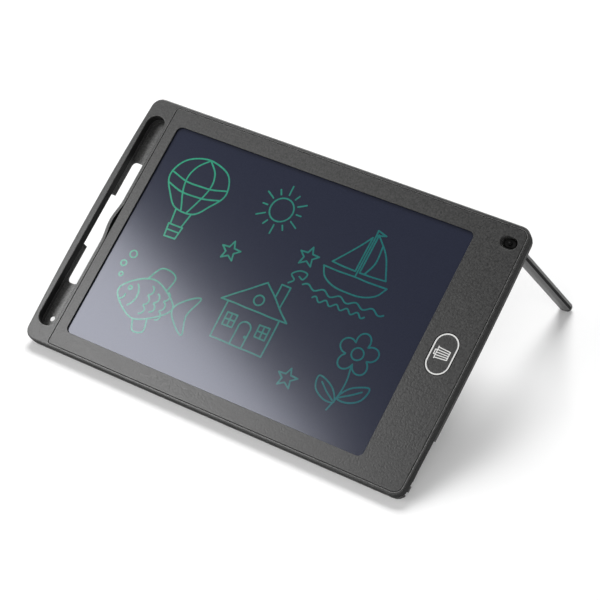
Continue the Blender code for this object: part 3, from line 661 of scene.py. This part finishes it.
def ribbon(shape, points, half_widths, closed, low, high):
    """A thin closed band along a line, from low to high above the plane."""
    rings = []
    for point, side, half in zip(points, across(points, closed), half_widths):
        left = point + side * half
        right = point - side * half
        corners = ((*left, high), (*right, high), (*right, low), (*left, low))
        rings.append([shape.verts.new(corner) for corner in corners])
    pairs = list(zip(rings, rings[1:]))
    if closed:
        pairs.append((rings[-1], rings[0]))
    for first, second in pairs:
        for i in range(4):
            j = (i + 1) % 4
            shape.faces.new((first[i], second[i], second[j], first[j]))
    if not closed:
        shape.faces.new(rings[0])
        shape.faces.new(reversed(rings[-1]))


def round_ends(points, half_widths):
    """The line with half a disc at each end."""
    def cap(end, inner, half):
        out = (end - inner).normalized()
        turns = [math.pi / 2 * i / cap_steps for i in range(cap_steps, 0, -1)]
        tip = 1 - 1 / (4 * cap_steps ** 2)
        return [(end + out * half * math.sin(a * tip), half * math.cos(a * tip)) for a in turns]

    first_cap = cap(points[0], points[1], half_widths[0])
    last_cap = cap(points[-1], points[-2], half_widths[-1])
    line = first_cap + list(zip(points, half_widths)) + last_cap[::-1]
    return [point for point, half in line], [half for point, half in line]


def object_on_face(name, shape, material, body):
    """Turns lines built in the tablet's own axes into a piece that rides on a body."""
    mesh = bpy.data.meshes.new(name)
    bmesh.ops.recalc_face_normals(shape, faces=shape.faces)
    shape.to_mesh(mesh)
    shape.free()
    mesh.transform(lean)
    mesh.materials.append(material)
    piece = bpy.data.objects.new(name, mesh)
    bpy.context.scene.collection.objects.link(piece)
    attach(piece, body)
    return piece


# Finishes of the CAD nodes.

def stylus_tip_and_shade_line(finish):
    """1 on the stylus's black tip and on the painted shade line along each narrow side, else 0."""
    axis = joint_axis("stylus_pull")
    tip = min(v.co.dot(axis) for v in nodes["stylus_barrel"].data.vertices)
    from_tip = finish.math("SUBTRACT", finish.dot(finish.place, axis), tip)
    black = finish.spread(from_tip, stylus_tip_length, stylus_tip_length + stylus_blend, 1.0, 0.0)
    low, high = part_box("stylus_barrel")
    # Painted shade: a dark line along each narrow side.
    sideways = axis.cross(Vector((1, 0, 0))).normalized()
    line_place = (low + high).dot(sideways) / 2 + stylus_shade_line_place
    offset = finish.math("SUBTRACT", finish.dot(finish.place, sideways), line_place)
    half = stylus_shade_line_width / 2
    line = finish.spread(finish.math("ABSOLUTE", offset), half, half + stylus_blend, 1.0, 0.0)
    return finish.math("MAXIMUM", line, black)


def stylus_finish():
    """Satin plastic with a painted shade line and a black tip."""
    finish = Finish("stylus_plastic", specular=0.35)
    fine = finish.noise(0.0005)
    dark = stylus_tip_and_shade_line(finish)
    plain = finish.shades(fine, look(80, 80, 80), look(112, 112, 112))
    # The tip is black, and the painted shade line is dark.
    finish.color(finish.mix(dark, plain, stylus_tip_and_shade_color))
    rough = finish.between(fine, 0.42, 0.52)
    matt = finish.math("MULTIPLY", dark, stylus_tip_and_shade_extra_roughness)
    finish.roughness(finish.math("ADD", rough, matt))
    finish.bump(fine, 0.00003)
    return finish.material


def foam_finish():
    """Open-celled grey foam."""
    finish = Finish("foam", specular=0.2)
    cell = finish.cells(0.0008)
    cell_middle = 0.35
    finish.color(finish.ramp(cell, [(0.0, look(112, 112, 112)), (cell_middle, look(62, 62, 62))]))
    finish.roughness(finish.spread(cell, 0.0, cell_middle, 0.8, 1.0))
    finish.bump(cell, 0.0002)
    return finish.material


def lead_finish():
    """Amber film over a row of copper tracks."""
    finish = Finish("lead")
    track = finish.waves(finish.tablet_place("film_tail"), lead_track_gap, "BANDS", "Y")
    fine = finish.noise(0.0004)
    tracks = finish.ramp(track, [(0.48, look(176, 112, 40)), (0.52, look(206, 138, 72))])
    finish.color(finish.multiplied(tracks, finish.shades(fine, grey(0.85), grey(1))))
    finish.roughness(finish.between(fine, 0.2, 0.32))
    finish.bump(track, 0.00003)
    return finish.material


def board_finish():
    """Green solder mask over copper tracks."""
    finish = Finish("board")
    track = finish.add("ShaderNodeTexBrick")
    finish.feed(finish.tablet_place("control_board"), track.inputs["Vector"])
    for name, size in board_tracks.items():
        track.inputs[name].default_value = size
    line = track.outputs["Fac"]
    fine = finish.noise(0.0005)
    plain = finish.shades(fine, look(18, 92, 46), look(26, 104, 54))
    finish.color(finish.mix(line, plain, look(52, 140, 78)))
    finish.roughness(finish.between(fine, 0.28, 0.36))
    finish.bump(line, 0.00003)
    return finish.material


def capacitor_finish(node):
    """Tan ceramic between tinned ends."""
    finish = Finish(node)
    low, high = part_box(node)
    length = finish.along(finish.place, "X", low.x, high.x)
    fine = finish.noise(0.0002)
    stops = [(0.0, grey(1)), (capacitor_end_share, grey(0)), (1 - capacitor_end_share, grey(1))]
    end = finish.ramp(length, stops, "CONSTANT")
    ceramic = finish.shades(fine, look(160, 132, 98), look(182, 154, 120))
    tin = finish.shades(fine, look(176, 176, 174), look(206, 206, 204))
    finish.color(finish.mix(end, ceramic, tin))
    finish.feed(end, finish.shader.inputs["Metallic"])
    finish.roughness(finish.between(fine, 0.35, 0.5))
    finish.bump(fine, 0.00001)
    return finish.material


def cell_finish():
    """Nickel-plated steel with the fine rings that turning leaves, and light scratches."""
    finish = Finish("cell", metallic=1.0)
    ring = finish.waves(finish.tablet_place("coin_cell"), cell_ring_gap, "RINGS", "Z")
    scratch = finish.noise(0.0005, metal_detail, (1, 12, 1))
    uneven = finish.ramp(scratch, [(0.35, look(128, 128, 126)), (0.65, look(164, 164, 161))])
    rings = finish.ramp(ring, [(0.0, grey(0.9)), (1.0, grey(1))])
    finish.color(finish.multiplied(uneven, rings))
    finish.roughness(finish.between(scratch, 0.46, 0.6))
    finish.bump(ring, 0.000004)
    return finish.material


def film_finish():
    """Dark blue-black film with a soft gloss."""
    finish = Finish("writing_film", specular=film_specular)
    finish.shader.inputs["Specular Tint"].default_value = film_tint
    fine = finish.noise(0.0006)
    finish.color(finish.shades(fine, look(38, 42, 59), look(42, 46, 63)))
    finish.roughness(finish.between(fine, 0.13, 0.155))
    return finish.material


def paint_case():
    """The case, the key, the drawer and the lock."""
    # Painted shade darkens each case's walls, and a painted highlight lightens its edges.
    paint(["housing_frame"], case_plastic("frame_plastic", *case_colors, wall_painted_shade=0.1, edge_highlight=1.0))
    panel_plastic = case_plastic("panel_plastic", *case_colors, wall_painted_shade=0.6, edge_highlight=0.1)
    paint(["front_panel", "erase_button"], panel_plastic)
    rear_plastic = case_plastic("rear_plastic", *rear_colors, wall_painted_shade=0.6, edge_highlight=0.5)
    paint(["rear_cover", "battery_drawer", "lock_slider"], rear_plastic)


def paint_rest():
    """The film, the stylus and the pieces inside the case."""
    paint(["writing_film"], film_finish())
    paint(["stylus_barrel"], stylus_finish())
    for name, (node_names, *values) in plastics.items():
        paint(node_names, moulded_plastic(name, *values))
    for name, (node_names, *values) in metals.items():
        paint(node_names, drawn_metal(name, *values))
    paint(["foam_pad"], foam_finish())
    paint(["film_tail"], lead_finish())
    paint(["control_board"], board_finish())
    paint(["coin_cell"], cell_finish())
    for node in ("capacitor_1", "capacitor_2", "capacitor_3"):
        paint([node], capacitor_finish(node))


# Shapes of the doodles. A stroke is a list of points in shares of the doodle's size, and
# whether it is closed.

def smooth(point_shares, closed=False):
    """A stroke that runs smoothly through a few points."""
    points = [Vector(p) for p in point_shares]
    count = len(points)
    stroke = []
    for i in range(count if closed else count - 1):
        if closed:
            before, start, end, after = (points[(i + k) % count] for k in (-1, 0, 1, 2))
        else:
            start, end = points[i], points[i + 1]
            before = points[i - 1] if i else start * 2 - end
            after = points[i + 2] if i + 2 < count else end * 2 - start
        for k in range(curve_steps):
            t = k / curve_steps
            bend = (before * 2 - start * 5 + end * 4 - after) * t ** 2
            bend += (start * 3 - before - end * 3 + after) * t ** 3
            stroke.append(start + ((end - before) * t + bend) / 2)
    if not closed:
        stroke.append(points[-1])
    return [(stroke, closed)]


def edges(point_shares, closed=False):
    """Straight strokes from point to point."""
    points = [Vector(p) for p in point_shares]
    ends = list(zip(points, points[1:]))
    if closed:
        ends.append((points[-1], points[0]))
    return [([first, second], False) for first, second in ends]


def arc(x_share, y_share, radius_share, start, end):
    """Part of a circle, with its angles in degrees."""
    steps = 4 * curve_steps
    turns = [math.radians(start + (end - start) * i / steps) for i in range(steps + 1)]
    middle = Vector((x_share, y_share))
    points = [middle + Vector((math.cos(a), math.sin(a))) * radius_share for a in turns]
    return [(points, False)]


def circle(x_share, y_share, radius_share):
    """A whole circle."""
    points = arc(x_share, y_share, radius_share, 0, 360)[0][0]
    return [(points[:-1], True)]


def balloon():
    """Hot-air balloon: round top, panels, ropes and basket."""
    strokes = smooth(
        [
            (0.5, 1.0),
            (0.78, 0.91),
            (0.88, 0.68),
            (0.75, 0.47),
            (0.61, 0.34),
            (0.39, 0.34),
            (0.25, 0.47),
            (0.12, 0.68),
            (0.22, 0.91),
        ],
        closed=True,
    )
    strokes += smooth([(0.5, 1.0), (0.37, 0.86), (0.34, 0.66), (0.46, 0.34)])
    strokes += smooth([(0.5, 1.0), (0.63, 0.86), (0.66, 0.66), (0.54, 0.34)])
    strokes += smooth([(0.14, 0.73), (0.32, 0.68), (0.5, 0.67), (0.68, 0.68), (0.86, 0.73)])
    strokes += smooth([(0.15, 0.60), (0.33, 0.55), (0.5, 0.54), (0.67, 0.55), (0.85, 0.60)])
    strokes += edges([(0.40, 0.33), (0.43, 0.15)])
    strokes += edges([(0.60, 0.33), (0.57, 0.15)])
    strokes += edges([(0.41, 0.15), (0.59, 0.15), (0.57, 0.0), (0.43, 0.0)], closed=True)
    strokes += edges([(0.42, 0.08), (0.58, 0.08)])
    return strokes


def fish():
    """Fish with fins, scales and bubbles."""
    strokes = smooth(
        [
            (0.0, 0.45),
            (0.13, 0.61),
            (0.35, 0.70),
            (0.58, 0.62),
            (0.74, 0.47),
            (0.58, 0.30),
            (0.35, 0.20),
            (0.13, 0.29),
        ],
        closed=True,
    )
    tail = [(0.74, 0.47), (0.86, 0.63), (1.0, 0.69), (0.93, 0.46), (0.99, 0.23), (0.85, 0.31)]
    strokes += smooth(tail, closed=True)
    strokes += smooth([(0.27, 0.68), (0.38, 0.86), (0.58, 0.82), (0.57, 0.63)])
    strokes += smooth([(0.35, 0.20), (0.42, 0.07), (0.54, 0.10), (0.51, 0.26)])
    strokes += arc(0.08, 0.45, 0.18, -48, 48)
    strokes += circle(0.13, 0.51, 0.022)
    strokes += arc(0.05, 0.41, 0.06, -80, 10)
    for column in range(3):
        for row in range(3 - column % 2):
            x = 0.37 + 0.11 * column
            y = 0.45 + 0.12 * (row - (2 - column % 2) / 2)
            strokes += arc(x, y, 0.055, -75, 75)
    strokes += circle(-0.07, 0.62, 0.024)
    strokes += circle(-0.11, 0.75, 0.034)
    strokes += circle(-0.05, 0.89, 0.044)
    return strokes


def sun():
    """Sun with rays of two lengths."""
    strokes = circle(0.5, 0.5, 0.24)
    rays = 12
    for i in range(rays):
        turn = 2 * math.pi * i / rays
        reach = 0.5 if i % 2 else 0.42
        ends = [(0.5 + r * math.cos(turn), 0.5 + r * math.sin(turn)) for r in (0.32, reach)]
        strokes += edges(ends)
    return strokes


def house():
    """House with roof, chimney and smoke, door and windows."""
    strokes = edges([(0.14, 0.0), (0.14, 0.48), (0.86, 0.48), (0.86, 0.0)], closed=True)
    strokes += edges([(0.04, 0.48), (0.5, 0.86), (0.96, 0.48)])
    strokes += edges([(0.04, 0.48), (0.14, 0.48)])
    strokes += edges([(0.86, 0.48), (0.96, 0.48)])
    strokes += edges([(0.67, 0.72), (0.67, 0.90), (0.79, 0.90), (0.79, 0.62)])
    smoke = [(0.73, 0.95), (0.78, 1.01), (0.72, 1.07), (0.80, 1.14), (0.90, 1.13), (0.88, 1.05)]
    strokes += smooth(smoke + [(0.82, 1.07)])
    strokes += edges([(0.42, 0.0), (0.42, 0.24)])
    strokes += edges([(0.58, 0.0), (0.58, 0.24)])
    strokes += arc(0.5, 0.24, 0.08, 0, 180)
    strokes += circle(0.555, 0.14, 0.008)
    for x in (0.21, 0.66):
        strokes += edges([(x, 0.19), (x, 0.35), (x + 0.14, 0.35), (x + 0.14, 0.19)], closed=True)
        strokes += edges([(x, 0.27), (x + 0.14, 0.27)])
        strokes += edges([(x + 0.07, 0.19), (x + 0.07, 0.35)])
    strokes += circle(0.5, 0.62, 0.065)
    return strokes


def sailboat():
    """Sailing boat on two lines of waves."""
    hull = [(0.05, 0.34), (0.13, 0.21), (0.28, 0.14), (0.5, 0.12), (0.72, 0.14), (0.87, 0.21)]
    strokes = smooth(hull + [(0.95, 0.34)])
    strokes += edges([(0.05, 0.34), (0.95, 0.34)])
    strokes += edges([(0.5, 0.34), (0.5, 1.0)])
    strokes += smooth([(0.53, 0.95), (0.74, 0.73), (0.89, 0.43)])
    strokes += edges([(0.89, 0.43), (0.53, 0.41), (0.53, 0.95)])
    strokes += smooth([(0.60, 0.42), (0.66, 0.60), (0.65, 0.83)])
    strokes += smooth([(0.47, 0.89), (0.33, 0.68), (0.13, 0.43)])
    strokes += edges([(0.13, 0.43), (0.47, 0.41), (0.47, 0.89)])
    strokes += edges([(0.5, 1.0), (0.63, 0.97), (0.5, 0.93)])
    for start, end, level in ((-0.08, 1.08, 0.02), (0.12, 0.86, -0.09)):
        count = 5 * curve_steps
        places = [(start + (end - start) * i / count, i) for i in range(count + 1)]
        wave = [Vector((x, level + 0.028 * math.sin(10 * math.pi * i / count))) for x, i in places]
        strokes.append((wave, False))
    return strokes


def flower():
    """Flower with round petals, a bent stem and two leaves."""
    count = 16 * curve_steps
    petals = []
    for i in range(count):
        turn = 2 * math.pi * i / count
        reach = 0.13 + 0.13 * abs(math.cos(2.5 * turn)) ** 0.7
        petals.append(Vector((0.5 + reach * math.sin(turn), 0.74 + reach * math.cos(turn))))
    strokes = [(petals, True)]
    strokes += circle(0.5, 0.74, 0.075)
    strokes += smooth([(0.5, 0.58), (0.53, 0.40), (0.52, 0.20), (0.47, 0.0)])
    strokes += smooth([(0.52, 0.18), (0.62, 0.34), (0.82, 0.42), (0.80, 0.26), (0.66, 0.17)], closed=True)
    strokes += smooth([(0.54, 0.19), (0.66, 0.27), (0.76, 0.35)])
    strokes += smooth([(0.51, 0.12), (0.40, 0.27), (0.20, 0.34), (0.22, 0.19), (0.37, 0.10)], closed=True)
    strokes += smooth([(0.48, 0.13), (0.36, 0.20), (0.26, 0.28)])
    return strokes


def star():
    """Five-pointed star."""
    turns = [math.pi * i / 5 for i in range(10)]
    reaches = [0.5 if i % 2 == 0 else 0.22 for i in range(10)]
    points = [(0.5 + r * math.sin(a), 0.5 + r * math.cos(a)) for a, r in zip(turns, reaches)]
    return edges(points, closed=True)


def line_finish():
    """Lines of the film: green on the left, blue-green on the right, a little uneven."""
    finish = Finish("film_lines", specular=line_specular)
    finish.shader.inputs["Specular Tint"].default_value = film_tint
    low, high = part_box("writing_film")
    side = finish.along(finish.place, "X", low.x, high.x)
    stops = [(0.0, look(62, 182, 140)), (0.45, look(49, 134, 122)), (1.0, look(20, 98, 112))]
    uneven = finish.shades(finish.noise(0.0012), look(228, 228, 228), look(255, 255, 255))
    finish.color(finish.multiplied(finish.ramp(side, stops), uneven))
    finish.roughness(finish.between(finish.noise(0.0006), 0.13, 0.17))
    return finish.material


def wandered(point):
    """A point moved as an unsteady hand would."""
    drift = noise.noise_vector(Vector((point.x, point.y, 0)) / wander_length)
    return point + Vector((drift.x, drift.y)) * wander_reach


def draw_doodle(name, strokes, size, place_shares, material):
    """One doodle, drawn on the film as ribbons with round ends."""
    low, high = face_box("writing_film")
    middle = Vector((low.x + (high.x - low.x) * place_shares[0], low.y + (high.y - low.y) * place_shares[1]))
    corner = middle - Vector((size / 2, size / 2))
    shape = bmesh.new()
    for i, (point_shares, closed) in enumerate(strokes):
        points = even_steps([corner + p * size for p in point_shares], closed)
        points = [wandered(p) for p in points]
        press_changes = [noise.noise(Vector((p.x, p.y, i)) / wander_length) for p in points]
        half_widths = [line_width / 2 * (1 + pressure_share * change) for change in press_changes]
        if not closed:
            points, half_widths = round_ends(points, half_widths)
        bottom = high.z + line_lift
        top = bottom + line_thickness + i * stroke_lift
        ribbon(shape, points, half_widths, closed, bottom, top)
    object_on_face(name, shape, material, "housing")


def draw_film():
    """All the doodles, the same on each run."""
    noise.seed_set(wander_seed)
    ink = line_finish()
    doodles = (
        ("doodle_balloon", balloon(), balloon_size, balloon_place_shares),
        ("doodle_fish", fish(), fish_size, fish_place_shares),
        ("doodle_sun", sun(), sun_size, sun_place_shares),
        ("doodle_house", house(), house_size, house_place_shares),
        ("doodle_sailboat", sailboat(), sailboat_size, sailboat_place_shares),
        ("doodle_flower", flower(), flower_size, flower_place_shares),
    )
    for name, strokes, size, place_shares in doodles:
        draw_doodle(name, strokes, size, place_shares, ink)
    for i, place_shares in enumerate(star_place_shares):
        draw_doodle(f"doodle_star_{i + 1}", star(), star_size, place_shares, ink)


# The print on the erase key.

def print_finish():
    """White screen print with a faint grain."""
    finish = Finish("key_print")
    fine = finish.noise(0.0002)
    finish.color(finish.shades(fine, look(236, 236, 234), look(250, 250, 248)))
    finish.roughness(finish.between(fine, 0.45, 0.6))
    return finish.material


def print_lines(name, middle, level, lines, width, material):
    """A print of several lines, given as points round the key's middle, on the erase key."""
    shape = bmesh.new()
    for i, (offsets, closed) in enumerate(lines):
        points = even_steps([middle + Vector(p) for p in offsets], closed)
        half_widths = [width / 2] * len(points)
        if not closed:
            points, half_widths = round_ends(points, half_widths)
        ribbon(shape, points, half_widths, closed, level, level + print_thickness + i * stroke_lift)
    object_on_face(name, shape, material, "erase_key")


def ring_line_points(low, high):
    """Middle line of the ring: it follows the edge of the key's face."""
    half_width = (high.x - low.x) / 2 - ring_inset - ring_line / 2
    straight = (high.y - low.y) / 2 - ring_inset - ring_line / 2 - half_width
    points = []
    for i in range(2 * ring_steps):
        turn = math.pi * i / ring_steps
        x = half_width * math.cos(turn)
        y = half_width * math.sin(turn) + math.copysign(straight, math.sin(turn))
        points.append((x, y))
    return points


def bin_lines():
    """A waste bin that lies on its side, with its lid to the left."""
    mouth = bin_mouth_width / 2
    foot = bin_foot_width / 2
    lines = []
    bars = bin_ribs + 2
    for i in range(bars):
        share = 2 * i / (bars - 1) - 1
        lines.append(([(bin_start, mouth * share), (bin_end, foot * share)], False))
    lines.append(([(bin_start, -bin_lid_width / 2), (bin_start, bin_lid_width / 2)], False))
    lines.append(([(bin_end, -foot), (bin_end, foot)], False))
    grip = bin_handle_width / 2
    lines.append(([(bin_handle_place, -grip), (bin_handle_place, grip)], False))
    lines.append(([(bin_start, -grip), (bin_handle_place, -grip)], False))
    lines.append(([(bin_start, grip), (bin_handle_place, grip)], False))
    return lines


def print_key():
    """The ring and the bin."""
    low, high = face_box("erase_button")
    middle = Vector(((low.x + high.x) / 2, (low.y + high.y) / 2))
    ink = print_finish()
    ring = [(ring_line_points(low, high), True)]
    print_lines("key_ring", middle, high.z, ring, ring_line, ink)
    print_lines("key_bin", middle, high.z, bin_lines(), bin_line, ink)


paint_case()
paint_rest()
draw_film()
print_key()

set_camera()
set_studio(set_floor())
